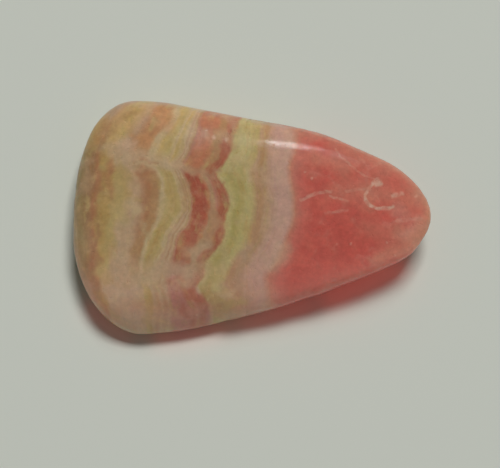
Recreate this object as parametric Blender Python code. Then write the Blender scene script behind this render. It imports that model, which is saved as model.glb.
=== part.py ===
"""Tumble-polished slab of banded rhodochrosite: one stone, lying on its flat side.

Metres, +Z up. +X runs from the broad end to the tip. Z = 0 is the flat that the stone rests on,
and the origin is the middle of its footprint.
"""

import math

import bmesh
import bpy
import numpy as np

# Size of the stone.
LENGTH = 0.0358            # broad end to tip
WIDTH = 0.0236             # across the corners of the broad end
BROAD_HEIGHT = 0.0064      # of the upper face above the ground, at the broad end
TIP_HEIGHT = 0.0058        # of the same face at the tip

# Its underside sweeps up to the tip like the bow of a boat.
TIP_LIFT = 0.0018          # how far the underside has swept up at the tip
LIFT_POWER = 3.0           # the sweep is level at the broad end and steepest at the tip

# Its cross-section.
GROUND_OFF = 0.0003        # taken off the domed underside, which leaves the flat
UPPER_POWER = 2.5          # superellipse power: 2 is a plain ellipse, more is a squarer shoulder
LOWER_POWER = 3.1

# Where the crown of both faces lies, as shares of the length and of the width, and the height at
# which they meet there.
CROWN = (0.42, 0.0)
CROWN_GIRDLE = 0.0028

# The widest line, anticlockwise from the tip: shares of the length, from the broad end, shares of
# the width, from the long axis, and heights in mm. It is low at the lower corner of the broad end
# and climbs from there to the tip.
OUTLINE = [
    # the tip, drawn in on its upper side
    (1.000, -0.018, 4.3), (0.990, 0.055, 4.2), (0.968, 0.112, 4.2), (0.912, 0.196, 4.1),
    # the upper flank, bowed near the tip and almost straight behind it
    (0.800, 0.283, 3.9), (0.689, 0.357, 3.6), (0.605, 0.390, 3.5), (0.521, 0.414, 3.3),
    (0.353, 0.464, 3.1),
    # the upper corner
    (0.214, 0.500, 3.0), (0.130, 0.493, 2.9), (0.066, 0.414, 2.9), (0.024, 0.272, 3.0),
    # the broad end, fullest just above the long axis
    (0.000, 0.013, 3.0), (0.010, -0.190, 2.6), (0.041, -0.326, 2.2),
    # the lower corner
    (0.088, -0.430, 1.8), (0.158, -0.494, 1.5), (0.256, -0.493, 1.4),
    # the lower flank, which climbs to the tip
    (0.418, -0.448, 1.6), (0.602, -0.378, 2.6), (0.744, -0.295, 3.7), (0.856, -0.230, 4.3),
    # a small worn facet under the tip
    (0.948, -0.153, 4.4), (0.987, -0.080, 4.3),
]

# Fineness of the surface.
STEPS_AROUND = 96
STEPS_OVER = 40
STEPS_PER_STRETCH = 24

STONE_COLOUR = (0.58, 0.26, 0.15, 1.0)
STONE_ROUGHNESS = 0.28


def clear_objects():
    """Remove whatever the file already holds."""
    for thing in list(bpy.data.objects):
        bpy.data.objects.remove(thing, do_unlink=True)


def smooth_loop(knots):
    """Return points along a smooth closed curve through the knots."""
    ahead = np.roll(knots, -1, axis=0)
    gap = np.linalg.norm(ahead - knots, axis=1, keepdims=True)
    gap_before = np.roll(gap, 1, axis=0)
    slope = (ahead - knots) / gap
    slope_before = np.roll(slope, 1, axis=0)
    tangent = (slope * gap_before + slope_before * gap) / (gap + gap_before)
    tangent_ahead = np.roll(tangent, -1, axis=0)
    rows = []
    for t in np.linspace(0.0, 1.0, STEPS_PER_STRETCH, endpoint=False):
        rows.append(
            (2 * t**3 - 3 * t**2 + 1) * knots
            + (t**3 - 2 * t**2 + t) * gap * tangent
            + (3 * t**2 - 2 * t**3) * ahead
            + (t**3 - t**2) * gap * tangent_ahead
        )
    return np.stack(rows, axis=1).reshape(-1, 3)


def evenly_spaced(points, count):
    """Return that many points of a closed line, equally far apart as seen from above."""
    closed = np.vstack([points, points[:1]])
    steps = np.linalg.norm(np.diff(closed[:, :2], axis=0), axis=1)
    travelled = np.concatenate([[0.0], np.cumsum(steps)])
    marks = np.linspace(0.0, travelled[-1], count, endpoint=False)
    return np.column_stack([np.interp(marks, travelled, closed[:, axis]) for axis in range(3)])


def girdle_points():
    """Return the widest line, in metres, centred on the origin as seen from above."""
    size = np.array([LENGTH, WIDTH])
    loop = smooth_loop(np.array(OUTLINE) * [LENGTH, WIDTH, 0.001])
    low, high = loop[:, :2].min(axis=0), loop[:, :2].max(axis=0)
    loop[:, :2] = (loop[:, :2] - (low + high) / 2) * size / (high - low)
    return evenly_spaced(loop, STEPS_AROUND)


def heights_at(x):
    """Return the heights at X of the underside and of the upper face."""
    share = x / LENGTH + 0.5
    underside = TIP_LIFT * share**LIFT_POWER - GROUND_OFF
    upper_face = BROAD_HEIGHT + (TIP_HEIGHT - BROAD_HEIGHT) * share
    return underside, upper_face


def superellipse(latitude, power):
    """Return how far out and how far up a point of the cross-section lies, each from 0 to 1."""
    reach = max(0.0, math.cos(latitude)) ** (2 / power)
    rise = abs(math.sin(latitude)) ** (2 / power)
    return reach, rise


def stone_point(direction, girdle):
    """Return the point of the stone's surface that a point of the unit sphere stands for."""
    turn = math.atan2(direction.y, direction.x) % math.tau
    latitude = math.asin(max(-1.0, min(1.0, direction.z)))
    above = latitude >= 0.0
    reach, rise = superellipse(latitude, UPPER_POWER if above else LOWER_POWER)

    crown = np.array([(CROWN[0] - 0.5) * LENGTH, CROWN[1] * WIDTH, CROWN_GIRDLE])
    rim = girdle[round(turn / math.tau * STEPS_AROUND) % STEPS_AROUND]
    x, y, middle = crown + (rim - crown) * reach

    underside, upper_face = heights_at(x)
    far_face = upper_face if above else underside
    return x, y, middle + (far_face - middle) * rise


def grind_flat(bm):
    """Cut the underside off at Z = 0 and close it with one flat face."""
    everything = bm.verts[:] + bm.edges[:] + bm.faces[:]
    cut = bmesh.ops.bisect_plane(bm, geom=everything, dist=1e-7, plane_no=(0, 0, 1), clear_inner=True)
    rim = [item for item in cut["geom_cut"] if isinstance(item, bmesh.types.BMEdge)]
    bmesh.ops.edgeloop_fill(bm, edges=rim)
    bmesh.ops.recalc_face_normals(bm, faces=bm.faces)


def stone_mesh():
    """Return the stone as a sphere pushed out to the outline and pressed to the cross-section."""
    bm = bmesh.new()
    bmesh.ops.create_uvsphere(bm, u_segments=STEPS_AROUND, v_segments=STEPS_OVER, radius=1.0)
    girdle = girdle_points()
    for vert in bm.verts:
        vert.co = stone_point(vert.co, girdle)
    grind_flat(bm)
    mesh = bpy.data.meshes.new("stone")
    bm.to_mesh(mesh)
    bm.free()
    mesh.shade_smooth()
    return mesh


def stone_material():
    """Return the stone's plain colour and polish."""
    material = bpy.data.materials.new("rhodochrosite")
    material.use_nodes = True
    shader = material.node_tree.nodes["Principled BSDF"]
    shader.inputs["Base Color"].default_value = STONE_COLOUR
    shader.inputs["Roughness"].default_value = STONE_ROUGHNESS
    shader.inputs["Metallic"].default_value = 0.0
    return material


def main():
    clear_objects()
    stone = bpy.data.objects.new("stone", stone_mesh())
    stone.data.materials.append(stone_material())
    collection = bpy.data.collections.new("rhodochrosite_slab")
    bpy.context.scene.collection.children.link(collection)
    collection.objects.link(stone)


main()
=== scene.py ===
"""Looks of a tumble-polished slab of banded rhodochrosite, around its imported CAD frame.

The stone is one piece. Its bands are a solid texture, laid out in millimetres on the plane that
faces the camera: "across" is the row's +X and "up" is the picture's upward direction, both counted
from the middle of the stone. The third direction, "toward", is the height above that middle. The
bands run straight down through the upper half and lean over in the lower half.
"""

import math

import bmesh
import bpy
import numpy as np
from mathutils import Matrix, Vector, noise


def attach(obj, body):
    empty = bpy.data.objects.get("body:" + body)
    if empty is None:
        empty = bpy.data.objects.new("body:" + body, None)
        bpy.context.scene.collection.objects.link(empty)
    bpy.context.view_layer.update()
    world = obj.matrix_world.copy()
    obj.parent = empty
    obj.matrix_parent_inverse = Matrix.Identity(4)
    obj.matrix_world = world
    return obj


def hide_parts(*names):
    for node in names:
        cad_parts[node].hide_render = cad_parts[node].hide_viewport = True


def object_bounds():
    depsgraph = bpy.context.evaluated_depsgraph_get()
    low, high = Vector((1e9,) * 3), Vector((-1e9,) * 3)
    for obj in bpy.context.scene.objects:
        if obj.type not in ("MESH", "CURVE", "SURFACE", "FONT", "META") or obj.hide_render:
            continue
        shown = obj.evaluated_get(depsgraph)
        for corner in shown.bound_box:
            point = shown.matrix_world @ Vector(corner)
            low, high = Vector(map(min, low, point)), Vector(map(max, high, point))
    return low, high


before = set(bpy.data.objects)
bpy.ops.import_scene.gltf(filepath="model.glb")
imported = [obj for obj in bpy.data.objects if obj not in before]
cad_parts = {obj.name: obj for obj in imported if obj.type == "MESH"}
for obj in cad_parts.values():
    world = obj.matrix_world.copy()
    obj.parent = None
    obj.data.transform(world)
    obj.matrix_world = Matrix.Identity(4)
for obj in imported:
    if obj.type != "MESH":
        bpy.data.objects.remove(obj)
CAD_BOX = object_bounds()

MM = 0.001

# The picture: its size and the middle of the stone's outline in it, in pixels.
PICTURE_SIZE = (500, 468)
STONE_MIDDLE_PIXEL = (252.5, 217.25)
PIXEL = 0.1 * MM
CAMERA_ELEVATION = math.radians(80.0)
CAMERA_DISTANCE = 0.20
SENSOR_WIDTH = 36.0

# The stone's middle, and the directions of the picture plane in the row's frame.
GIRDLE_HEIGHT = 0.46 * (CAD_BOX[1].z - CAD_BOX[0].z)
STONE_MIDDLE = Vector((0.04 * MM, -0.13 * MM, GIRDLE_HEIGHT))
UP = Vector((0.0, math.sin(CAMERA_ELEVATION), math.cos(CAMERA_ELEVATION)))
TOWARD = Vector((0.0, -math.cos(CAMERA_ELEVATION), math.sin(CAMERA_ELEVATION)))

# The upper face is nearer to the camera than the stone's middle, so it looks a little larger.
FACE_LOOKS_LARGER = CAMERA_DISTANCE / (CAMERA_DISTANCE - (CAD_BOX[1].z - GIRDLE_HEIGHT))

# Reach of the picture plane that the curves below cover, and how far out, past both ends of the
# stone, the first layer starts and the last one ends, in mm.
ACROSS_REACH = 20.0
UP_REACH = 13.0
LAYERS_REACH = 19.0

# Below the middle the bands lean across by this much per mm of depth.
UNDER_LEAN = 0.55

# Sizes and amounts, in mm, of the noise that wavers the layers.
WAVERS = [(2.4, 0.55), (0.55, 0.30)]

# Fine growth lines along the layers: how thick they are as a share of a layer, how fast they change
# along it, how strong they get, the parts of the noise that are pale and dark lines, and the layer
# numbers over which they end.
LAMINA = 0.13
LAMINA_ALONG = 0.012
LAMINA_STRENGTH = 0.24
PALE_LAMINAE = (0.54, 0.74)
DARK_LAMINAE = (0.46, 0.28)
LAMINAE_END = (7.2, 7.9)

# Broader streaks along the layers, told in the same way.
STREAK = 0.45
STREAK_ALONG = 0.22
STREAK_STRENGTH = 0.6
WARM_STREAKS = (0.52, 0.74)
GREEN_STREAKS = (0.48, 0.26)
STREAKS_END = (6.5, 7.3)

# Milky clouds: sizes, in mm, with their greatest strengths, the part of the noise that is cloud, and
# how much of them is left in the red tip.
CLOUDS = [(3.2, 0.35), (1.1, 0.25)]
CLOUD_PART = (0.46, 0.74)
TIP_CLOUDS = 0.4

# Mottling of tiny crystals: sizes, in mm, with their strengths, and the part of the noise it spans.
GRAINS = [(1.6, 0.07), (0.45, 0.07)]
GRAIN_PART = (0.32, 0.68)

# Faint net of healed cracks in the red tip: sizes of its meshes and of the patches that it shows in,
# in mm, the thickness of its lines as a share of the noise, and its strength.
NET = 3.2
NET_PATCH = 1.7
NET_PATCH_PART = (0.45, 0.65)
NET_LINE = 0.05
NET_STRENGTH = 0.20

# Polished skin: sizes of its pits and of the last ripple of grinding, in mm, the part of the noise
# that climbs out of a pit, and how deep both are, in mm.
PIT = 0.42
PIT_PART = (0.27, 0.33)
RIPPLE = 1.1
SKIN_DEPTH = 0.02

# Roughness of the banded part and of the tip, and where across the stone the one passes into the
# other, in mm.
BANDS_ROUGHNESS = 0.30
TIP_ROUGHNESS = 0.15
POLISH_PASSES = (-1.5, 1.6)

# How light passes through the stone: its index of refraction, how far red, green and blue reach as
# shares of the greatest reach, and that reach, in mm.
STONE_IOR = 1.5
LIGHT_REACHES = (1.0, 0.5, 0.4)
LIGHT_REACH = 6.0

# The even mesh: the size of its cells, in mm, the gap within which two points of the CAD mesh count
# as one, in mm, and how strongly and how often the even mesh is smoothed.
CELL = 0.3
MERGE_GAP = 1e-3
SMOOTHING = 0.5
SMOOTHINGS = 12

# Seed of the random moves that swing the stains and shape the lumps, and the sizes and amounts of the
# moves of the stains, in mm.
SWING_SEED = 4
STAIN_SWINGS = [(1.5, 0.5), (0.5, 0.25)]

# Relief of the surface, in mm: (size, depth) of its lumps, and (half width, depth, line) of dents.
LUMPS = [(5.5, 0.05), (2.2, 0.012)]
DENTS = [
    (0.22, 0.03, [(11.5, 1.8), (11.8, 1.4), (12.6, 1.0), (13.6, 0.9), (14.3, 1.1)]),
    (0.30, 0.03, [(12.3, 3.6), (13.0, 3.5)]),
    (0.35, 0.07, [(-3.1, -10.4), (-2.6, -10.4)]),
    (0.35, 0.06, [(-17.9, 2.7), (-17.9, 2.3)]),
]

# Heights, in mm, over which the dents come in, counted from the stone's middle, and over which any
# relief comes in, counted from the ground, so that the flat stays flat.
DENT_HEIGHTS = (-2.0, 0.0)
RELIEF_HEIGHTS = (0.02, 0.8)

# Where the shoulder above the widest line is more worn than elsewhere, and where it is fuller, in mm:
# (half width, depth, line). The fuller stretches have a negative depth. All of them come in over
# these heights above the ground.
SHOULDERS = [
    (1.5, 0.52, [(-11.6, -10.3), (-8.0, -10.7), (-4.2, -10.1)]),
    (1.3, -0.24, [(-16.6, -3.2), (-16.4, -4.8), (-15.0, -8.0)]),
    (1.4, -0.10, [(2.6, -9.3), (5.5, -8.3)]),
    (1.4, -0.26, [(7.5, -7.6), (11.0, -6.2), (15.6, -3.9)]),
]
SHOULDER_HEIGHTS = (1.6, 3.2)

# Painted light at the thin edge: the side on which light from above comes out through the thin edge,
# how squarely a place has to face that side to show all of it, and the light painted into the red,
# green and blue of the colour there.
EDGE_LIGHT_FACES = (-0.3, -1.0, 0.0)
EDGE_LIGHT_FULL = 0.75
PAINTED_EDGE_LIGHT = (0.32, 0.14, 0.12)

# Names under which the stains, with the painted rim light and shade among them, and the painted
# light of the thin edge are kept on the mesh.
STAIN_AND_PAINTED_RIM_NAME = "stain"
PAINTED_EDGE_LIGHT_NAME = "thin edge"

# Light that the translucent stone lets through to the paper in its shadow, as strips that follow
# its lower edge: name, place, turn, size and watts for each, with places and sizes in mm.
GLOW_COLOUR = (1.0, 0.04, 0.03)
GLOWS = [
    ("glow under the tip", (11.2, -6.4, 1.3), 0.45, (9.6, 2.6), 2.4e-5),
    ("glow under the flank", (2.2, -9.5, 1.2), 0.26, (8.0, 2.4), 1.35e-5),
    ("glow under the bottom", (-6.2, -11.4, 1.2), 0.16, (8.0, 2.4), 1.30e-5),
    ("glow under the corner", (-14.2, -10.2, 1.2), -0.66, (5.8, 2.4), 7.2e-6),
]

# The studio: plain surroundings, a wide ceiling lamp that casts the shadow, and a small window that
# the polish reflects. A lamp has a direction, a distance and a size in metres, and watts.
SURROUNDINGS = (0.93, 0.96, 0.92, 1.0)
SURROUNDINGS_STRENGTH = 0.095
CEILING = ((0.20, 0.56, 1.0), 2.5, (0.95, 0.60), 38.8)
WINDOW = ((0.134, 0.650, 0.738), 2.0, (0.15, 0.15), 1.28)

# The paper that the stone lies on: half its side, in metres, its colour and its roughness.
PAPER_REACH = 0.6
PAPER_COLOUR = (0.77, 0.80, 0.72, 1.0)
PAPER_ROUGHNESS = 0.9

# Colours of the stone, linear.
PALETTE = {
    "olive": (0.36, 0.27, 0.115),
    "olive_yellow": (0.57, 0.45, 0.195),
    "ochre": (0.53, 0.36, 0.135),
    "gold": (0.62, 0.455, 0.19),
    "orange": (0.59, 0.32, 0.155),
    "rust": (0.49, 0.24, 0.12),
    "umber": (0.42, 0.24, 0.12),
    "brown_orange": (0.52, 0.315, 0.155),
    "tan": (0.57, 0.375, 0.240),
    "light_tan": (0.54, 0.325, 0.19),
    "pink_tan": (0.61, 0.45, 0.285),
    "cream": (0.63, 0.49, 0.285),
    "pale_pink": (0.66, 0.48, 0.33),
    "rose": (0.55, 0.27, 0.19),
    "milky_rose": (0.55, 0.35, 0.235),
    "red_orange": (0.57, 0.235, 0.13),
    "brick": (0.49, 0.175, 0.10),
    "dark_red": (0.49, 0.140, 0.085),
    "crimson": (0.53, 0.245, 0.195),
    "yellow_green": (0.59, 0.50, 0.235),
    "olive_green": (0.50, 0.42, 0.155),
    "mauve": (0.64, 0.405, 0.320),
    "magenta_pink": (0.70, 0.38, 0.34),
    "deep_red": (0.65, 0.145, 0.110),
    "tip_red": (0.65, 0.195, 0.150),
    "haze": (0.65, 0.31, 0.21),
    "tip_pink": (0.66, 0.38, 0.29),
    # painted shade and reflection of the surroundings along the upper rim
    "rim_shade_and_reflection": (0.45, 0.34, 0.275),
    # pale of healed cracks, also used for the painted glints
    "fracture_and_glint": (0.76, 0.58, 0.44),
}

# Growth lines, from the broad end to the tip, as (up, across) points. Each has a stretch in the top
# lobe, one in the middle lobe and one in the bottom lobe, which meet in cusps.
GROWTH_LINES = [
    # inner edge of the olive rim
    [
        [(11.6, -12.2), (10.4, -13.4), (8.1, -14.7), (5.9, -15.7)],
        [(4.2, -15.6), (1.2, -16.1), (-0.8, -16.1), (-3.3, -15.7), (-5.3, -15.8)],
        [(-7.3, -15.4), (-10.1, -14.4), (-11.5, -14.1)],
    ],
    # cream line that starts the first yellow band
    [
        [(11.6, -7.7), (10.9, -7.7), (9.2, -8.4), (7.6, -9.7), (5.8, -10.3)],
        [(4.5, -9.6), (3.1, -9.1), (1.7, -9.1), (-0.5, -9.6), (-1.5, -10.2), (-3.6, -10.9),
         (-5.3, -11.1)],
        [(-6.6, -11.2), (-7.6, -10.8), (-9.3, -10.8), (-11.5, -10.7)],
    ],
    # end of the first yellow band
    [
        [(11.6, -5.5), (10.7, -5.7), (8.4, -6.5), (6.4, -7.2)],
        [(5.1, -8.2), (4.0, -7.5), (1.9, -6.8), (0.8, -6.7), (-0.2, -7.5), (-1.6, -8.4),
         (-3.1, -8.9), (-4.5, -9.6)],
        [(-6.7, -10.2), (-7.6, -9.8), (-8.8, -9.8), (-11.5, -9.9)],
    ],
    # start of the reds
    [
        [(11.3, -4.8), (10.2, -5.0), (8.9, -5.2), (7.2, -5.8), (5.7, -6.5)],
        [(4.9, -7.2), (4.3, -6.8), (2.9, -6.2), (1.3, -6.0), (-0.7, -6.3), (-1.9, -7.2),
         (-3.0, -7.5), (-4.1, -7.7)],
        [(-6.7, -8.4), (-7.6, -8.1), (-9.0, -7.8), (-11.5, -8.2)],
    ],
    # start of the yellow-green band
    [
        [(10.4, -1.1), (9.3, -1.4), (8.0, -1.8), (6.6, -2.0), (5.4, -2.8)],
        [(4.5, -3.6), (3.5, -3.0), (2.5, -2.4), (1.4, -2.2), (0.4, -2.5), (-2.3, -2.9),
         (-3.6, -3.8), (-4.8, -4.7), (-5.8, -4.8)],
        [(-6.9, -5.5), (-8.0, -5.0), (-9.0, -4.3), (-10.9, -4.0)],
    ],
    # end of the yellow-green band
    [
        [(10.1, 1.1), (9.2, 0.9), (7.4, 0.6), (5.8, 0.3)],
        [(5.0, -0.1), (3.9, 0.1), (2.7, 0.4), (0.7, 0.3), (-0.9, -0.1), (-2.9, -0.6),
         (-4.0, -1.5), (-5.3, -2.2)],
        [(-6.6, -2.7), (-7.4, -2.4), (-8.3, -1.7), (-8.9, -1.6), (-10.1, -2.2)],
    ],
    # start of the milky mauve band
    [
        [(9.8, 1.9), (7.7, 1.8), (5.7, 1.6)],
        [(4.9, 1.6), (3.5, 1.6), (1.7, 1.9), (0.0, 1.8), (-1.5, 1.4), (-2.8, 0.8), (-4.1, -0.2),
         (-5.5, -1.1)],
        [(-6.9, -1.4), (-8.3, -0.8), (-9.7, -0.9)],
    ],
    # start of the deep red tip
    [
        [(9.1, 4.7), (8.3, 4.7), (6.6, 4.5), (5.7, 4.0)],
        [(4.9, 3.8), (3.7, 3.9), (1.7, 4.3), (0.3, 4.3), (-0.8, 4.0), (-2.2, 3.5), (-3.5, 3.0),
         (-4.4, 2.6), (-5.4, 1.9)],
        [(-6.3, 1.6), (-7.4, 1.8), (-8.8, 2.0)],
    ],
]

# The two lines along which the lobes meet, as (across, up) points.
UPPER_CUSP_LINE = [(-20.0, 6.9), (-14.0, 6.6), (-11.0, 6.0), (-9.2, 5.2), (-5.7, 4.9),
                   (-3.6, 4.5), (0.0, 5.0), (4.0, 4.6), (20.0, 4.6)]
LOWER_CUSP_LINE = [(-20.0, -6.2), (-11.2, -6.5), (-8.4, -6.7), (-5.5, -6.9), (-3.2, -6.6),
                   (1.6, -6.3), (20.0, -6.3)]

# Colour of each layer. A layer's number counts the growth lines passed, so 2.5 is halfway between
# the second and the third.
TOP_LAYERS = [
    (0.00, "olive"), (0.55, "ochre"), (0.90, "brown_orange"), (1.05, "gold"), (1.25, "gold"),
    (1.50, "tan"), (1.65, "orange"), (1.88, "orange"), (1.97, "cream"), (2.10, "cream"),
    (2.25, "gold"), (2.50, "olive_yellow"), (2.68, "cream"), (2.78, "gold"), (2.95, "cream"),
    (3.15, "tan"), (3.30, "pink_tan"), (3.60, "light_tan"), (3.85, "rose"), (4.00, "red_orange"),
    (4.40, "red_orange"), (4.55, "brown_orange"), (4.66, "brick"), (4.92, "dark_red"),
    (5.02, "yellow_green"), (5.55, "yellow_green"), (5.92, "olive_yellow"), (6.10, "tan"),
    (6.50, "brown_orange"), (6.85, "tan"), (7.20, "mauve"),
]
MIDDLE_LEFT_LAYERS = [
    (0.00, "olive"), (0.60, "olive"), (0.88, "umber"), (1.00, "rust"), (1.08, "ochre"),
    (1.25, "ochre"), (1.45, "pink_tan"), (1.65, "tan"), (1.80, "rust"), (1.93, "brown_orange"),
    (1.985, "cream"), (2.06, "cream"), (2.20, "olive_yellow"), (2.45, "ochre"),
    (2.72, "olive_yellow"), (2.86, "cream"), (2.97, "cream"), (3.15, "tan"), (3.32, "pink_tan"),
    (3.46, "light_tan"), (3.60, "pink_tan"), (3.74, "light_tan"), (3.88, "rose"),
    (3.98, "brick"),
]
MIDDLE_RIGHT_LAYERS = [
    (3.98, "brick"), (4.08, "dark_red"), (4.35, "dark_red"), (4.45, "red_orange"), (4.51, "light_tan"),
    (4.58, "light_tan"), (4.64, "rose"), (4.70, "brick"), (4.92, "brick"),
    (5.02, "yellow_green"), (5.30, "olive_green"), (5.80, "yellow_green"), (6.05, "light_tan"),
    (6.35, "light_tan"), (6.60, "tan"), (6.80, "tan"), (7.30, "mauve"), (7.75, "mauve"),
]
BOTTOM_LAYERS = [
    (0.00, "tan"), (0.80, "tan"), (1.00, "brown_orange"), (1.12, "pink_tan"), (1.50, "pink_tan"),
    (1.85, "pale_pink"), (1.98, "pink_tan"), (2.15, "olive_yellow"), (2.70, "ochre"), (2.95, "pink_tan"),
    (3.20, "light_tan"), (3.38, "pink_tan"), (3.58, "light_tan"), (3.80, "pink_tan"),
    (4.00, "crimson"), (4.35, "crimson"), (4.52, "brick"), (4.62, "rose"),
    (4.75, "brick"), (4.90, "crimson"), (5.00, "pink_tan"), (5.08, "olive_green"),
    (5.60, "yellow_green"), (6.00, "tan"), (6.50, "light_tan"), (7.00, "tan"), (7.50, "mauve"),
]
TIP_LAYERS = [(7.75, "mauve"), (7.97, "haze"), (8.05, "tip_red"), (8.12, "deep_red")]

# Layer numbers over which the two runs of the middle lobe meet, the lobes' own runs give way to the
# tip's, the clouds turn to those of the tip, and the net of the tip starts.
MIDDLE_RUNS_MEET = (3.97, 3.99)
LOBES_END = (7.6, 7.8)
TIP_CLOUDS_START = (7.9, 8.1)
NET_START = (8.0, 8.2)

# Layer numbers over which the seams between the lobes narrow, and their half widths there, in mm.
SEAMS_NARROW = (2.0, 4.5)
SEAM_HALF_WIDTHS = (0.8, 0.25)

# Stains over the layers, as (colour, half width, softness, strength, line), in mm of the picture
# plane: milky clouds along the two lines where the lobes meet, and rusty or milky streaks. A few of
# them, marked where they stand, are painted shade, reflection and light along the rims.
SEAM_STAINS = [
    ("pink_tan", 0.50, 0.80, 0.70, [(-14.6, 6.9), (-12.6, 6.4), (-10.4, 5.8), (-8.6, 5.3)]),
    ("pink_tan", 0.42, 0.35, 0.70, [(-8.6, 5.2), (-6.4, 4.8)]),
    ("light_tan", 0.42, 0.35, 0.75, [(-6.4, 4.8), (-4.6, 4.6), (-3.6, 4.5)]),
    ("brick", 0.05, 0.12, 0.35, [(-11.3, 5.7), (-9.2, 5.3)]),
    ("cream", 0.12, 0.15, 0.60, [(-11.7, 5.6), (-9.2, 5.0)]),
    ("pink_tan", 1.00, 1.10, 0.85, [(-13.8, -5.2), (-11.4, -6.0), (-9.2, -5.6)]),
    ("milky_rose", 0.75, 0.80, 0.85, [(-7.9, -5.2), (-6.6, -5.2)]),
    ("pale_pink", 0.60, 0.80, 0.45, [(-8.2, -5.3), (-5.2, -5.3)]),
    ("magenta_pink", 0.40, 0.40, 0.35, [(-8.1, -6.2), (-7.6, -6.5)]),
    ("cream", 0.30, 0.35, 0.60, [(-10.5, -6.3), (-10.1, -6.5)]),
    ("cream", 0.30, 0.30, 0.55, [(-7.2, -6.5), (-6.8, -6.7)]),
]
BROAD_END_STAINS_AND_PAINTED_RIM = [
    ("orange", 0.60, 0.50, 0.90, [(-11.8, 7.6), (-10.6, 7.7)]),
    ("pale_pink", 0.40, 0.50, 0.60, [(-13.3, 7.3), (-12.0, 7.3)]),
    ("orange", 0.60, 0.60, 0.60, [(-9.3, 10.6), (-8.7, 9.4)]),
    ("umber", 0.12, 0.40, 0.40, [(-12.3, 10.8), (-13.8, 9.5), (-14.8, 8.0), (-15.7, 5.9)]),
    ("tan", 0.45, 0.50, 0.50, [(-16.8, 5.4), (-17.0, 2.6)]),
    ("rust", 0.35, 0.40, 0.70, [(-14.7, 5.7), (-14.3, 4.6)]),
    ("rust", 0.25, 0.30, 0.55, [(-15.2, 4.5), (-15.6, 2.7), (-15.9, 0.5)]),
    ("rust", 0.30, 0.40, 0.55, [(-14.5, 4.4), (-14.3, 2.0)]),
    ("rust", 0.45, 0.45, 0.55, [(-11.1, 3.8), (-10.1, 2.4)]),
    ("umber", 0.22, 0.30, 0.70, [(-15.7, -0.8), (-15.8, -2.9), (-15.6, -4.5), (-15.8, -5.9),
                                 (-15.4, -8.0)]),
    ("rust", 0.32, 0.30, 0.75, [(-11.6, 4.5), (-10.1, 4.3)]),
    ("brown_orange", 0.42, 0.40, 0.75, [(-10.1, 3.9), (-9.8, 1.2), (-10.4, -0.9)]),
    ("ochre", 0.90, 0.80, 0.65, [(-13.1, 4.0), (-12.9, 2.0)]),
    ("olive_yellow", 0.50, 0.60, 0.65, [(-13.2, 3.7), (-13.5, 1.7), (-13.1, -0.4)]),
    ("cream", 0.45, 0.50, 0.80, [(-12.1, 1.3), (-11.5, 0.8)]),
    ("olive_yellow", 0.35, 0.45, 0.65, [(-13.9, 0.3), (-14.7, -1.8), (-14.7, -3.7),
                                        (-15.2, -5.6)]),
    ("pink_tan", 0.80, 0.80, 0.60, [(-12.7, -0.8), (-12.2, -3.8)]),
    ("cream", 0.35, 0.40, 0.45, [(-11.0, -0.8), (-10.5, -1.8)]),
    ("brown_orange", 0.30, 0.35, 0.60, [(-11.3, -1.9), (-11.8, -3.8)]),
    ("pale_pink", 0.80, 0.90, 0.50, [(-13.2, -7.6), (-12.3, -9.8)]),
    ("ochre", 0.30, 0.40, 0.60, [(-15.3, -7.6), (-14.6, -8.9)]),
    ("olive_yellow", 0.25, 0.30, 0.40, [(-14.1, -9.6), (-13.7, -10.0)]),
    ("gold", 0.30, 0.35, 0.50, [(-10.7, -10.6), (-9.1, -10.8)]),
    ("pale_pink", 0.70, 0.80, 0.35, [(-12.4, -9.4), (-9.8, -10.2), (-5.0, -9.6)]),
    ("cream", 0.70, 0.60, 0.45, [(-11.2, -8.4), (-9.9, -9.3)]),
    ("gold", 0.22, 0.30, 0.45, [(-10.4, -7.4), (-10.3, -9.8)]),
    ("olive", 0.30, 0.60, 0.30, [(-17.4, -1.5), (-17.2, -4.5), (-16.6, -7.5)]),
    ("cream", 0.40, 0.50, 0.45, [(-4.4, -8.8), (-3.4, -10.4), (-1.6, -9.9)]),
    # Painted shade and reflection of the surroundings along the upper rim.
    ("rim_shade_and_reflection", 0.30, 0.55, 0.60, [(-15.2, 10.8), (-13.2, 11.8), (-11.2, 12.0), (-8.2, 11.8),
                                      (-5.2, 11.3), (-0.2, 10.3), (4.8, 9.4)]),
]
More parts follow.
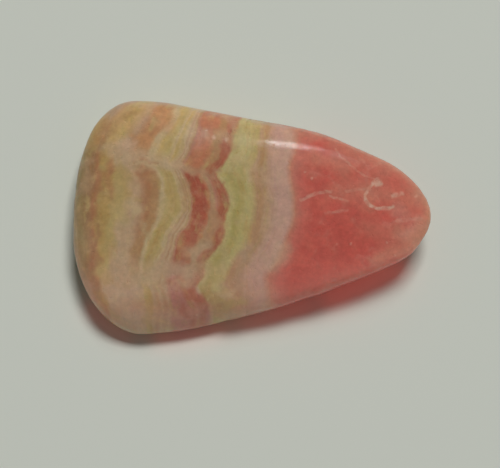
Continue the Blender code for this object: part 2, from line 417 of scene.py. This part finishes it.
RED_STAINS = [
    ("red_orange", 0.55, 0.45, 0.60, [(-4.7, 9.7), (-3.5, 9.3)]),
    ("tan", 0.50, 0.45, 0.65, [(-2.6, 10.1), (-1.8, 9.5)]),
    ("mauve", 0.45, 0.45, 0.45, [(-5.0, 8.6), (-5.4, 7.0)]),
    ("red_orange", 0.55, 0.50, 0.60, [(-4.8, 7.0), (-5.4, 5.7)]),
    ("brown_orange", 0.26, 0.20, 0.80, [(-2.9, 9.8), (-3.1, 8.2), (-3.9, 5.6)]),
    ("brown_orange", 0.35, 0.35, 0.60, [(-2.4, 8.3), (-2.0, 7.4)]),
    ("brick", 0.34, 0.28, 0.75, [(-2.7, 7.0), (-3.2, 6.0), (-4.0, 4.7)]),
    ("brown_orange", 0.28, 0.30, 0.60, [(-6.9, 3.4), (-6.7, 2.0), (-6.8, 0.6)]),
    ("dark_red", 0.30, 0.25, 0.50, [(-2.9, 3.0), (-2.7, 2.2)]),
    ("light_tan", 0.38, 0.25, 0.90, [(-3.9, 0.4), (-3.6, -1.0), (-4.5, -2.1), (-5.4, -2.9)]),
    ("light_tan", 0.35, 0.35, 0.70, [(-6.8, -3.8), (-6.0, -3.5)]),
    ("pink_tan", 0.60, 0.45, 0.75, [(-5.7, -3.4), (-5.2, -3.0), (-4.3, -2.9)]),
    ("pink_tan", 0.50, 0.50, 0.50, [(-5.6, -4.5), (-6.4, -5.4)]),
    ("brown_orange", 0.28, 0.30, 0.45, [(-4.8, -4.3), (-5.3, -5.4)]),
    ("milky_rose", 0.45, 0.50, 0.50, [(-8.3, -7.3), (-6.2, -6.6)]),
    ("brick", 0.34, 0.28, 0.75, [(-6.0, -7.5), (-5.8, -8.0)]),
    ("crimson", 0.55, 0.50, 0.60, [(-7.6, -7.8), (-7.2, -8.6)]),
    ("brick", 0.42, 0.35, 0.75, [(-7.0, -9.3), (-6.6, -10.3)]),
    ("brick", 0.30, 0.28, 0.75, [(-5.2, -8.2), (-4.7, -9.0), (-4.7, -10.1)]),
]
GREEN_AND_MAUVE_STAINS = [
    ("cream", 0.30, 0.40, 0.40, [(-2.8, -3.2), (-3.0, -5.2)]),
    ("cream", 0.25, 0.28, 0.60, [(-3.0, -7.6), (-1.9, -7.5)]),
    ("olive_green", 0.40, 0.45, 0.65, [(-2.6, -8.7), (-1.0, -8.6)]),
    ("yellow_green", 0.45, 0.50, 0.55, [(-4.0, -8.3), (-2.7, -9.0)]),
    ("olive_green", 0.35, 0.40, 0.50, [(-1.2, 4.7), (-1.0, 3.2)]),
    ("ochre", 0.40, 0.40, 0.45, [(-0.4, -0.9), (-0.4, -2.2)]),
    ("brown_orange", 0.18, 0.30, 0.35, [(0.7, 3.9), (1.2, 1.5), (0.6, -0.8), (0.5, -2.8),
                                        (-0.2, -3.8), (-1.2, -5.3)]),
    ("tan", 0.50, 0.60, 0.50, [(-0.8, -4.5), (-1.4, -6.8)]),
    ("pale_pink", 0.60, 0.70, 0.45, [(3.2, -3.2), (2.2, -4.8)]),
    ("pale_pink", 0.40, 0.60, 0.45, [(-0.5, -3.0), (-1.0, -3.9)]),
]
TIP_STAINS_AND_PAINTED_RIMS = [
    ("rose", 1.00, 1.60, 0.50, [(9.0, 6.4), (12.6, 4.8)]),
    ("haze", 0.45, 0.90, 0.45, [(6.4, 5.9), (7.9, 5.6), (9.3, 4.7)]),
    ("haze", 0.35, 0.80, 0.35, [(5.2, 6.4), (6.3, 6.3)]),
    ("haze", 0.60, 1.30, 0.45, [(8.6, 2.8), (11.0, 2.6), (11.6, 1.6)]),
    ("haze", 0.80, 1.40, 0.55, [(12.3, 2.6), (15.6, 1.6)]),
    ("haze", 0.90, 0.75, 0.65, [(14.9, -1.5), (16.5, -2.0), (17.3, -0.9)]),
    # Paler band along the lower rim of the tip: milky haze with painted light that comes out through the
    # thin rim.
    ("haze", 0.40, 0.70, 0.60, [(12.4, -4.3), (15.2, -3.0)]),
    ("haze", 0.80, 1.20, 0.35, [(11.8, -1.2), (13.8, -1.8)]),
    ("tip_pink", 0.50, 0.80, 0.40, [(14.7, 0.5), (16.2, -0.3)]),
    ("tip_pink", 0.30, 0.90, 0.45, [(15.6, -1.5), (17.0, -1.2)]),
    # Paler rim round the tip's end: milky haze with a painted reflection where the tip slopes away.
    ("haze", 0.80, 1.10, 0.90, [(16.6, -2.6), (17.7, -1.2), (17.9, 0.8), (17.2, 2.2)]),
    ("rose", 0.40, 0.90, 0.35, [(4.8, 5.1), (6.2, 4.2)]),
    ("rose", 1.00, 1.20, 0.85, [(4.8, 9.4), (7.8, 8.8), (9.8, 8.1), (12.8, 6.6), (14.8, 5.3),
                                (16.3, 3.9), (17.2, 2.4)]),
    # Painted shade and reflection of the surroundings along the upper rim of the tip.
    ("rim_shade_and_reflection", 0.25, 0.45, 0.35, [(4.8, 9.4), (9.8, 8.2), (12.8, 6.8), (14.8, 5.5)]),
]
STAINS_AND_PAINTED_RIMS = SEAM_STAINS + BROAD_END_STAINS_AND_PAINTED_RIM + RED_STAINS + GREEN_AND_MAUVE_STAINS + TIP_STAINS_AND_PAINTED_RIMS

# Healed cracks, as (half width, strength, line), and specks, as (radius, strength, place), in mm of
# the picture plane: pale marks, most of them in the red tip. The last three specks are painted
# glints, light off tiny facets on the upper shoulder.
CRACKS = [
    (0.20, 0.65, [(12.1, 3.4), (12.5, 3.75), (12.9, 3.4), (12.4, 3.3)]),
    (0.14, 0.55, [(12.1, 3.3), (11.6, 2.8), (11.3, 2.2), (11.4, 1.6)]),
    (0.17, 0.70, [(11.4, 1.7), (11.8, 1.2), (12.6, 0.9), (13.6, 0.9), (14.1, 1.1)]),
    (0.14, 0.25, [(11.8, 2.8), (10.6, 2.8), (9.4, 2.7)]),
    (0.22, 0.50, [(14.2, 2.2), (15.1, 2.4)]),
    (0.10, 0.26, [(8.4, 7.0), (8.9, 6.1), (9.6, 5.6), (10.2, 4.9), (11.3, 4.2), (12.2, 3.8)]),
    (0.18, 0.38, [(4.9, 1.7), (5.8, 2.2), (6.8, 2.5), (7.9, 2.6)]),
    (0.12, 0.28, [(7.8, 2.1), (9.6, 1.6)]),
    (0.14, 0.18, [(7.3, 0.3), (9.6, 0.7)]),
    (0.18, 0.25, [(14.5, -0.3), (16.9, -0.1)]),
]
SPECKS_AND_GLINTS = [
    (0.14, 0.45, (5.9, 3.9)), (0.13, 0.30, (5.3, 4.5)), (0.15, 0.30, (16.5, 2.1)),
    (0.13, 0.35, (13.4, -2.5)), (0.12, 0.30, (9.9, -2.8)), (0.13, 0.35, (14.2, -3.9)),
    # The last three specks are painted glints of light off tiny facets on the upper shoulder.
    (0.12, 0.25, (8.4, -2.7)), (0.10, 0.60, (-5.6, -9.9)), (0.10, 0.60, (-4.6, 8.7)),
    (0.24, 0.50, (-3.9, 8.0)), (0.22, 0.50, (-2.6, 7.9)),
]

# A crack or speck is full out to the first share of its half width and gone at the second. Cracks
# and specks come in over these heights, in mm from the stone's middle. In patches of this size, in
# mm, where the noise is below this part, they fade to the faintest.
SOFT_EDGE = (0.4, 1.6)
CRACK_HEIGHTS = (-0.5, 1.0)
CRACK_PATCH = 0.5
CRACK_PATCH_PART = (0.35, 0.6)
FAINTEST_CRACK = 0.35


class Graph:
    """The shader nodes of one material. Its calls take sockets or plain values, and return a socket."""

    def __init__(self, material):
        material.use_nodes = True
        self.nodes = material.node_tree.nodes
        self.links = material.node_tree.links
        self.shader = self.nodes["Principled BSDF"]

    def feed(self, socket, value):
        """Link a socket to an input, or set the input to a plain value."""
        if isinstance(value, bpy.types.NodeSocket):
            self.links.new(value, socket)
        else:
            socket.default_value = value

    def math(self, operation, first, second=0.0, clamp=False):
        """A number from one or two numbers, held to 0..1 if clamp is set."""
        node = self.nodes.new("ShaderNodeMath")
        node.operation = operation
        node.use_clamp = clamp
        self.feed(node.inputs[0], first)
        self.feed(node.inputs[1], second)
        return node.outputs[0]

    def vector(self, operation, first, second=(0.0, 0.0, 0.0), scale=1.0):
        """A vector operation. DOT_PRODUCT, DISTANCE and LENGTH return a number."""
        node = self.nodes.new("ShaderNodeVectorMath")
        node.operation = operation
        self.feed(node.inputs[0], first)
        self.feed(node.inputs[1], second)
        self.feed(node.inputs[3], scale)
        return node.outputs["Value" if operation in ("DOT_PRODUCT", "DISTANCE", "LENGTH") else "Vector"]

    def split(self, vector):
        """The three parts of a vector."""
        node = self.nodes.new("ShaderNodeSeparateXYZ")
        self.feed(node.inputs[0], vector)
        return node.outputs

    def join(self, x, y, z):
        """A vector of three parts."""
        node = self.nodes.new("ShaderNodeCombineXYZ")
        for socket, value in zip(node.inputs, (x, y, z)):
            self.feed(socket, value)
        return node.outputs[0]

    def fade(self, value, low, high, to_low=0.0, to_high=1.0, smooth=True):
        """Map a value from low..high to to_low..to_high and hold it at both ends."""
        node = self.nodes.new("ShaderNodeMapRange")
        node.interpolation_type = "SMOOTHSTEP" if smooth else "LINEAR"
        for socket, number in zip(node.inputs, (value, low, high, to_low, to_high)):
            self.feed(socket, number)
        return node.outputs[0]

    def noise(self, point, size, detail=2.0, roughness=0.5, three=False):
        """Noise with features of about that size, in mm, from 0 to 1: one number, or three."""
        node = self.nodes.new("ShaderNodeTexNoise")
        self.feed(node.inputs["Vector"], point)
        node.inputs["Scale"].default_value = 1.0 / size
        node.inputs["Detail"].default_value = detail
        node.inputs["Roughness"].default_value = roughness
        return node.outputs["Color" if three else "Fac"]

    def mix(self, factor, first, second, blend="MIX"):
        """The second colour blended over the first, as strong as the factor."""
        node = self.nodes.new("ShaderNodeMix")
        node.data_type = "RGBA"
        node.blend_type = blend
        self.feed(node.inputs[0], factor)
        self.feed(node.inputs[6], first)
        self.feed(node.inputs[7], second)
        return node.outputs[2]

    def layers(self, number, stops):
        """Colour of a layer number, from (number, colour name) stops."""
        first, last = stops[0][0], stops[-1][0]
        node = self.nodes.new("ShaderNodeValToRGB")
        self.feed(node.inputs[0], self.fade(number, first, last, smooth=False))
        elements = node.color_ramp.elements
        while len(elements) < len(stops):
            elements.new(1.0)
        for element, (place, name) in zip(elements, stops):
            element.position = (place - first) / (last - first)
            element.color = colour(name)
        return node.outputs[0]

    def curve(self, value, points, reach_in, reach_out, corners=()):
        """Smooth curve through (in, out) points, with sharp corners where they are asked for."""
        node = self.nodes.new("ShaderNodeFloatCurve")
        self.feed(node.inputs["Value"], self.fade(value, -reach_in, reach_in, smooth=False))
        line = node.mapping.curves[0]
        for index, (place, out) in enumerate(sorted(points)):
            x, y = (place / reach_in + 1.0) / 2.0, (out / reach_out + 1.0) / 2.0
            if index < 2:
                line.points[index].location = (x, y)
            else:
                line.points.new(x, y)
        for point, (place, out) in zip(line.points, sorted(points)):
            point.handle_type = "VECTOR" if (place, out) in corners else "AUTO_CLAMPED"
        node.mapping.update()
        return self.fade(node.outputs[0], 0.0, 1.0, -reach_out, reach_out, smooth=False)


def colour(name):
    """A palette colour as red, green, blue and alpha."""
    return (*PALETTE[name], 1.0)


def picture_point(graph):
    """The texture's point: across, up and toward, in mm, from the middle of the stone."""
    place = graph.nodes.new("ShaderNodeTexCoord").outputs["Object"]
    turn = graph.nodes.new("ShaderNodeMapping")
    turn.vector_type = "POINT"
    turn.inputs["Scale"].default_value = (FACE_LOOKS_LARGER / MM,) * 3
    turn.inputs["Rotation"].default_value = (CAMERA_ELEVATION - math.pi / 2, 0.0, 0.0)
    graph.feed(turn.inputs["Vector"], graph.vector("SUBTRACT", place, STONE_MIDDLE))
    return turn.outputs[0]


def leaned(graph, point):
    """The point moved across in the lower half, where the bands lean over."""
    toward = graph.split(point)[2]
    below = graph.math("MINIMUM", toward, 0.0)
    return graph.vector("ADD", point, graph.join(graph.math("MULTIPLY", below, UNDER_LEAN), 0.0, 0.0))


def wavered(graph, point):
    """The point moved a little by noise, so that no edge of a layer is a clean curve."""
    for size, amount in WAVERS:
        swing = graph.vector("SUBTRACT", graph.noise(point, size, three=True), (0.5, 0.5, 0.5))
        point = graph.vector("ADD", point, graph.vector("SCALE", swing, scale=amount))
    return point


def layer_number(graph, across, up):
    """How many growth lines have been passed on the way from the broad end, with the share of the next."""
    places = [-LAYERS_REACH]
    for lobes in GROWTH_LINES:
        points = [point for lobe in lobes for point in lobe]
        corners = (lobes[1][0], lobes[2][0])
        places.append(graph.curve(up, points, UP_REACH, ACROSS_REACH, corners))
    places.append(LAYERS_REACH)
    number = 0.0
    for start, end in zip(places, places[1:]):
        number = graph.math("ADD", number, graph.fade(across, start, end, smooth=False))
    return number


def layer_colour(graph, number, across, up):
    """Colour of the layers, from each lobe's own run of colours."""
    left = graph.layers(number, MIDDLE_LEFT_LAYERS)
    right = graph.layers(number, MIDDLE_RIGHT_LAYERS)
    middle = graph.mix(graph.fade(number, *MIDDLE_RUNS_MEET, smooth=False), left, right)
    top = graph.layers(number, TOP_LAYERS)
    bottom = graph.layers(number, BOTTOM_LAYERS)
    upper_line = graph.curve(across, UPPER_CUSP_LINE, ACROSS_REACH, UP_REACH)
    lower_line = graph.curve(across, LOWER_CUSP_LINE, ACROSS_REACH, UP_REACH)
    seam = graph.fade(number, *SEAMS_NARROW, *SEAM_HALF_WIDTHS)
    other_side = graph.math("MULTIPLY", seam, -1.0)
    above = graph.fade(graph.math("SUBTRACT", up, upper_line), other_side, seam)
    below = graph.fade(graph.math("SUBTRACT", lower_line, up), other_side, seam)
    banded = graph.mix(below, graph.mix(above, middle, top), bottom)
    tip = graph.layers(number, TIP_LAYERS)
    return graph.mix(graph.fade(number, *LOBES_END), banded, tip)


def laminated(graph, base, number, point):
    """The colour with fine pale and dark growth lines that follow the layers."""
    along = graph.vector("SCALE", point, scale=LAMINA_ALONG)
    fine = graph.noise(graph.vector("ADD", along, graph.join(number, 0.0, 0.0)), LAMINA, detail=3.0)
    banded = graph.fade(number, *LAMINAE_END, 1.0, 0.0)
    pale = graph.math("MULTIPLY", graph.fade(fine, *PALE_LAMINAE, 0.0, LAMINA_STRENGTH), banded)
    dark = graph.math("MULTIPLY", graph.fade(fine, *DARK_LAMINAE, 0.0, LAMINA_STRENGTH), banded)
    return graph.mix(dark, graph.mix(pale, base, colour("cream")), colour("brown_orange"))


def clouded(graph, base, number, point):
    """The colour with milky clouds between the bands and fainter hazy ones in the red tip."""
    in_tip = graph.fade(number, *TIP_CLOUDS_START)
    milk = graph.mix(in_tip, colour("pink_tan"), colour("haze"))
    kept = graph.fade(in_tip, 0.0, 1.0, 1.0, TIP_CLOUDS)
    for size, most in CLOUDS:
        billows = graph.noise(point, size, detail=4.0, roughness=0.6)
        cloud = graph.fade(billows, *CLOUD_PART, 0.0, most)
        base = graph.mix(graph.math("MULTIPLY", cloud, kept), base, milk)
    return base


def streaked(graph, base, number, point):
    """The colour with warmer and greener streaks that run along the bands."""
    along = graph.vector("SCALE", point, scale=STREAK_ALONG)
    streak = graph.noise(graph.vector("ADD", along, graph.join(number, 0.0, 0.0)), STREAK, detail=3.0)
    banded = graph.fade(number, *STREAKS_END, 1.0, 0.0)
    warm = graph.math("MULTIPLY", graph.fade(streak, *WARM_STREAKS, 0.0, STREAK_STRENGTH), banded)
    green = graph.math("MULTIPLY", graph.fade(streak, *GREEN_STREAKS, 0.0, STREAK_STRENGTH), banded)
    return graph.mix(green, graph.mix(warm, base, colour("ochre")), colour("olive_yellow"))


def grained(graph, base, point):
    """The colour with the mottling of tiny crystals."""
    for size, strength in GRAINS:
        fine = graph.noise(point, size, detail=3.0, roughness=0.65)
        speckle = graph.fade(fine, *GRAIN_PART, 1.0 - strength, 1.0 + strength, smooth=False)
        base = graph.mix(1.0, base, graph.join(speckle, speckle, speckle), blend="MULTIPLY")
    return base


def stained_and_painted_rims(graph, base):
    """The colour with the stains and painted rim shading that are kept at the points of the mesh."""
    stain = graph.nodes.new("ShaderNodeAttribute")
    stain.attribute_name = STAIN_AND_PAINTED_RIM_NAME
    return graph.mix(stain.outputs["Alpha"], base, stain.outputs["Color"])


def with_painted_edge_light(graph, base):
    """The colour with light painted in at the thin edge, where light from above comes out."""
    edge = graph.nodes.new("ShaderNodeAttribute")
    edge.attribute_name = PAINTED_EDGE_LIGHT_NAME
    return graph.mix(edge.outputs["Fac"], base, (*PAINTED_EDGE_LIGHT, 1.0), blend="ADD")


def spot(graph, gap, half_width, strength):
    """As strong as asked for where the gap is small, and 0 past the half width, with a soft edge."""
    inner, outer = SOFT_EDGE
    return graph.fade(gap, inner * half_width, outer * half_width, strength, 0.0)


def near_line(graph, point, start, end, half_width):
    """1 on a straight line between two points of the picture plane, and 0 past its half width."""
    run = Vector((end[0] - start[0], end[1] - start[1], 0.0))
    away = graph.vector("SUBTRACT", point, (*start, 0.0))
    share = graph.math("MULTIPLY", graph.vector("DOT_PRODUCT", away, run), 1.0 / run.length_squared, True)
    nearest = graph.nodes.new("ShaderNodeVectorMath")
    nearest.operation = "SCALE"
    nearest.inputs[0].default_value = run
    graph.feed(nearest.inputs[3], share)
    gap = graph.vector("DISTANCE", away, nearest.outputs[0])
    return spot(graph, gap, half_width, 1.0)


def cracked_and_glinting(graph, base, point):
    """The colour with the white healed cracks and specks; the last specks are painted glints."""
    across, up, toward = graph.split(point)
    flat = graph.join(across, up, 0.0)
    shown = graph.fade(toward, *CRACK_HEIGHTS)
    patches = graph.noise(point, CRACK_PATCH, detail=3.0)
    patchy = graph.fade(patches, *CRACK_PATCH_PART, FAINTEST_CRACK, 1.0)
    white = 0.0
    for half_width, strength, line in CRACKS:
        for start, end in zip(line, line[1:]):
            stretch = graph.math("MULTIPLY", near_line(graph, flat, start, end, half_width), strength)
            white = graph.math("MAXIMUM", white, stretch)
    for radius, strength, place in SPECKS_AND_GLINTS:
        gap = graph.vector("DISTANCE", flat, (*place, 0.0))
        white = graph.math("MAXIMUM", white, spot(graph, gap, radius, strength))
    white = graph.math("MULTIPLY", white, graph.math("MULTIPLY", shown, patchy))
    return graph.mix(white, base, colour("fracture_and_glint"))


def veined(graph, base, number, point):
    """The colour with a faint net of healed cracks all through the red tip."""
    net = graph.noise(point, NET, detail=3.0)
    line = graph.fade(graph.math("ABSOLUTE", graph.math("SUBTRACT", net, 0.5)), 0.0, NET_LINE, 1.0, 0.0)
    patchy = graph.fade(graph.noise(point, NET_PATCH), *NET_PATCH_PART)
    in_tip = graph.fade(number, *NET_START, 0.0, NET_STRENGTH)
    faint = graph.math("MULTIPLY", graph.math("MULTIPLY", line, patchy), in_tip)
    return graph.mix(faint, base, colour("tip_pink"))


def polish_bump(graph, point):
    """Normal of the polished skin, with tiny pits and the last traces of grinding."""
    pits = graph.fade(graph.noise(point, PIT, detail=1.0), *PIT_PART, -1.0, 0.0)
    ripple = graph.noise(point, RIPPLE, detail=3.0)
    bump = graph.nodes.new("ShaderNodeBump")
    bump.inputs["Strength"].default_value = 1.0
    bump.inputs["Distance"].default_value = SKIN_DEPTH * MM
    graph.feed(bump.inputs["Height"], graph.math("ADD", pits, ripple))
    return bump.outputs[0]


def stone_material():
    """Banded rhodochrosite: polished, slightly translucent, coloured right through."""
    material = bpy.data.materials.new("rhodochrosite")
    graph = Graph(material)
    point = leaned(graph, picture_point(graph))
    moved = wavered(graph, point)
    across, up, _ = graph.split(moved)
    number = layer_number(graph, across, up)
    base = layer_colour(graph, number, across, up)
    base = laminated(graph, base, number, moved)
    base = streaked(graph, base, number, moved)
    base = clouded(graph, base, number, point)
    # Stains, with painted light and shade along the rims among them.
    base = stained_and_painted_rims(graph, base)
    base = veined(graph, base, number, point)
    # Cracks and specks, with painted glints among the specks.
    base = cracked_and_glinting(graph, base, moved)
    base = grained(graph, base, point)
    # Painted light at the thin edge.
    base = with_painted_edge_light(graph, base)
    polish = graph.fade(across, *POLISH_PASSES, BANDS_ROUGHNESS, TIP_ROUGHNESS)
    graph.feed(graph.shader.inputs["Base Color"], base)
    graph.feed(graph.shader.inputs["Normal"], polish_bump(graph, point))
    graph.feed(graph.shader.inputs["Roughness"], polish)
    graph.shader.inputs["IOR"].default_value = STONE_IOR
    graph.shader.inputs["Subsurface Weight"].default_value = 1.0
    graph.shader.inputs["Subsurface Radius"].default_value = LIGHT_REACHES
    graph.shader.inputs["Subsurface Scale"].default_value = LIGHT_REACH * MM
    return material


def even_mesh(node):
    """A copy of the CAD stone as an even, smooth mesh of small faces."""
    mesh = node.data.copy()
    bm = bmesh.new()
    bm.from_mesh(mesh)
    bmesh.ops.remove_doubles(bm, verts=bm.verts, dist=MERGE_GAP * MM)
    bm.to_mesh(mesh)
    bm.free()
    draft = bpy.data.objects.new("draft", mesh)
    bpy.context.scene.collection.objects.link(draft)
    remesh = draft.modifiers.new("even", "REMESH")
    remesh.mode = "VOXEL"
    remesh.voxel_size = CELL * MM
    smooth = draft.modifiers.new("smooth", "SMOOTH")
    smooth.factor = SMOOTHING
    smooth.iterations = SMOOTHINGS
    fine = draft.modifiers.new("fine", "SUBSURF")
    fine.levels = fine.render_levels = 1
    depsgraph = bpy.context.evaluated_depsgraph_get()
    result = bpy.data.meshes.new_from_object(draft.evaluated_get(depsgraph))
    bpy.data.objects.remove(draft)
    return result


def points_of(mesh):
    """The points of a mesh as rows of an array."""
    numbers = np.empty(3 * len(mesh.vertices))
    mesh.vertices.foreach_get("co", numbers)
    return numbers.reshape(-1, 3)


def normals_of(mesh):
    """The normals at the points of a mesh, as rows of an array."""
    numbers = np.empty(3 * len(mesh.vertices))
    mesh.vertex_normals.foreach_get("vector", numbers)
    return numbers.reshape(-1, 3)


def picture_places(points):
    """Across, up and toward of each point, in mm from the middle of the stone."""
    away = (points - np.array(STONE_MIDDLE)) * FACE_LOOKS_LARGER / MM
    return np.column_stack([away[:, 0], away @ np.array(UP), away @ np.array(TOWARD)])


def swings(places, size):
    """A smooth random move for each place, from about -0.5 to 0.5 along each direction."""
    return np.array([noise.noise_vector(Vector(place) / size) for place in places])


def ease(values, low, high):
    """0 at low and 1 at high, with a smooth climb between them. High may be the lower number."""
    share = np.clip((values - low) / (high - low), 0.0, 1.0)
    return share * share * (3.0 - 2.0 * share)


def gap_to_line(places, line):
    """How far each place of the picture plane is from a line, in mm."""
    gaps = np.full(len(places), np.inf)
    corners = np.array(line)
    for start, end in zip(corners, corners[1:]):
        run = end - start
        share = np.clip((places - start) @ run / (run @ run), 0.0, 1.0)
        gaps = np.minimum(gaps, np.linalg.norm(places - start - np.outer(share, run), axis=1))
    return gaps


def lay(paint, name, cover):
    """Lay a colour over the paint at each point, as strong as its cover there."""
    under = paint[:, 3] * (1.0 - cover)
    total = np.maximum(under + cover, 1e-6)
    colours = under[:, None] * paint[:, :3] + cover[:, None] * np.array(PALETTE[name])
    paint[:, :3] = colours / total[:, None]
    paint[:, 3] = under + cover


def keep_stains_and_painted_rims(mesh):
    """Keep stains and painted rim shading as a colour at each point of the mesh, with strength as alpha.
    """
    places = picture_places(points_of(mesh))
    places[:, 0] += UNDER_LEAN * np.minimum(places[:, 2], 0.0)
    places += sum(amount * swings(places, size) for size, amount in STAIN_SWINGS)
    paint = np.tile((*PALETTE["tan"], 0.0), (len(places), 1))
    for name, half_width, softness, strength, line in STAINS_AND_PAINTED_RIMS:
        gap = gap_to_line(places[:, :2], line)
        lay(paint, name, strength * ease(gap, half_width + softness, max(0.0, half_width - softness)))
    attribute = mesh.attributes.new(STAIN_AND_PAINTED_RIM_NAME, "FLOAT_COLOR", "POINT")
    attribute.data.foreach_set("color", paint.ravel())


def keep_painted_edge_light(mesh):
    """Keep how far each point faces the side of the thin edge, from 0 to 1: its share of painted light."""
    slope = normals_of(mesh) @ np.array(Vector(EDGE_LIGHT_FACES).normalized())
    attribute = mesh.attributes.new(PAINTED_EDGE_LIGHT_NAME, "FLOAT", "POINT")
    attribute.data.foreach_set("value", ease(slope, 0.0, EDGE_LIGHT_FULL))


def press_relief(mesh):
    """Press the lumps, dents and nicks of a tumbled surface into the stone, and wear its shoulder."""
    points = points_of(mesh)
    normals = normals_of(mesh)
    places = picture_places(points)
    depth = np.zeros(len(points))
    for size, amount in LUMPS:
        depth += amount * (0.5 + swings(places, size)[:, 0]).clip(0.0, 1.0)
    on_top = ease(places[:, 2], *DENT_HEIGHTS)
    for half_width, amount, line in DENTS:
        depth += amount * on_top * ease(gap_to_line(places[:, :2], line), 2.0 * half_width, 0.0)
    on_shoulder = ease(points[:, 2] / MM, *SHOULDER_HEIGHTS)
    for half_width, amount, line in SHOULDERS:
        depth += amount * on_shoulder * ease(gap_to_line(places[:, :2], line), 2.0 * half_width, 0.0)
    low, high = RELIEF_HEIGHTS
    depth *= ease(points[:, 2], low * MM, high * MM)
    points -= MM * depth[:, None] * normals
    points[:, 2] = points[:, 2].clip(0.0)
    mesh.vertices.foreach_set("co", points.ravel())
    mesh.update()


def make_stone():
    """The one piece: the CAD stone's shape as an even mesh, with its relief and its bands."""
    mesh = even_mesh(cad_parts["stone"])
    mesh.name = "rhodochrosite_slab"
    noise.seed_set(SWING_SEED)
    # Stains with the painted rim light and shade among them, kept at the points.
    keep_stains_and_painted_rims(mesh)
    # The painted light of the thin edge, kept at the points.
    keep_painted_edge_light(mesh)
    press_relief(mesh)
    stone = bpy.data.objects.new("rhodochrosite_slab", mesh)
    bpy.context.scene.collection.objects.link(stone)
    mesh.materials.clear()
    mesh.materials.append(stone_material())
    mesh.shade_smooth()
    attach(stone, "root")
    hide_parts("stone")
    return stone


def make_floor():
    """The plain pale paper under the stone, which is no part of it."""
    mesh = bpy.data.meshes.new("floor")
    bm = bmesh.new()
    bmesh.ops.create_grid(bm, x_segments=1, y_segments=1, size=PAPER_REACH)
    bm.to_mesh(mesh)
    bm.free()
    floor = bpy.data.objects.new("floor", mesh)
    bpy.context.scene.collection.objects.link(floor)
    material = bpy.data.materials.new("paper")
    graph = Graph(material)
    graph.shader.inputs["Base Color"].default_value = PAPER_COLOUR
    graph.shader.inputs["Roughness"].default_value = PAPER_ROUGHNESS
    mesh.materials.append(material)
    return floor


def make_camera():
    """The camera, aimed so that the stone's middle falls on its pixel of the picture."""
    data = bpy.data.cameras.new("camera")
    data.sensor_width = SENSOR_WIDTH
    data.lens = SENSOR_WIDTH * CAMERA_DISTANCE / (PICTURE_SIZE[0] * PIXEL)
    data.clip_start = 0.01
    camera = bpy.data.objects.new("camera", data)
    bpy.context.scene.collection.objects.link(camera)
    right_by = (PICTURE_SIZE[0] / 2 - STONE_MIDDLE_PIXEL[0]) * PIXEL
    up_by = (STONE_MIDDLE_PIXEL[1] - PICTURE_SIZE[1] / 2) * PIXEL
    aim = STONE_MIDDLE + Vector((right_by, 0.0, 0.0)) + UP * up_by
    camera.location = aim + TOWARD * CAMERA_DISTANCE
    camera.rotation_euler = (math.pi / 2 - CAMERA_ELEVATION, 0.0, 0.0)
    bpy.context.scene.camera = camera


def add_lamp(name, direction, distance, size, power):
    """A soft lamp, so wide and so high, that faces the stone from that direction."""
    data = bpy.data.lights.new(name, "AREA")
    data.shape = "RECTANGLE"
    data.size, data.size_y = size
    data.energy = power
    lamp = bpy.data.objects.new(name, data)
    bpy.context.scene.collection.objects.link(lamp)
    lamp.location = STONE_MIDDLE + Vector(direction).normalized() * distance
    lamp.rotation_euler = Vector(direction).to_track_quat("Z", "Y").to_euler()
    return lamp


def add_glow(name, place, turn, size, power, floor_only):
    """One strip of the light that comes through the stone. Only the floor sees it."""
    glow = add_lamp(name, (0.0, 0.0, 1.0), 0.0, Vector(size) * MM, power)
    glow.location = Vector(place) * MM
    glow.rotation_euler = (0.0, 0.0, turn)
    glow.data.color = GLOW_COLOUR
    glow.visible_camera = False
    glow.visible_glossy = False
    glow.light_linking.receiver_collection = floor_only
    glow.light_linking.blocker_collection = floor_only


def make_lights(floor):
    """The surroundings, the two lamps of the studio and the light that comes through the stone."""
    world = bpy.data.worlds.new("studio")
    world.use_nodes = True
    background = world.node_tree.nodes["Background"]
    background.inputs["Color"].default_value = SURROUNDINGS
    background.inputs["Strength"].default_value = SURROUNDINGS_STRENGTH
    bpy.context.scene.world = world
    ceiling = add_lamp("ceiling", *CEILING)
    ceiling.visible_glossy = False
    add_lamp("window", *WINDOW)
    floor_only = bpy.data.collections.new("lit through the stone")
    floor_only.objects.link(floor)
    for strip in GLOWS:
        add_glow(*strip, floor_only)


bpy.context.scene.view_settings.view_transform = "Standard"
make_camera()
make_stone()
make_lights(make_floor())
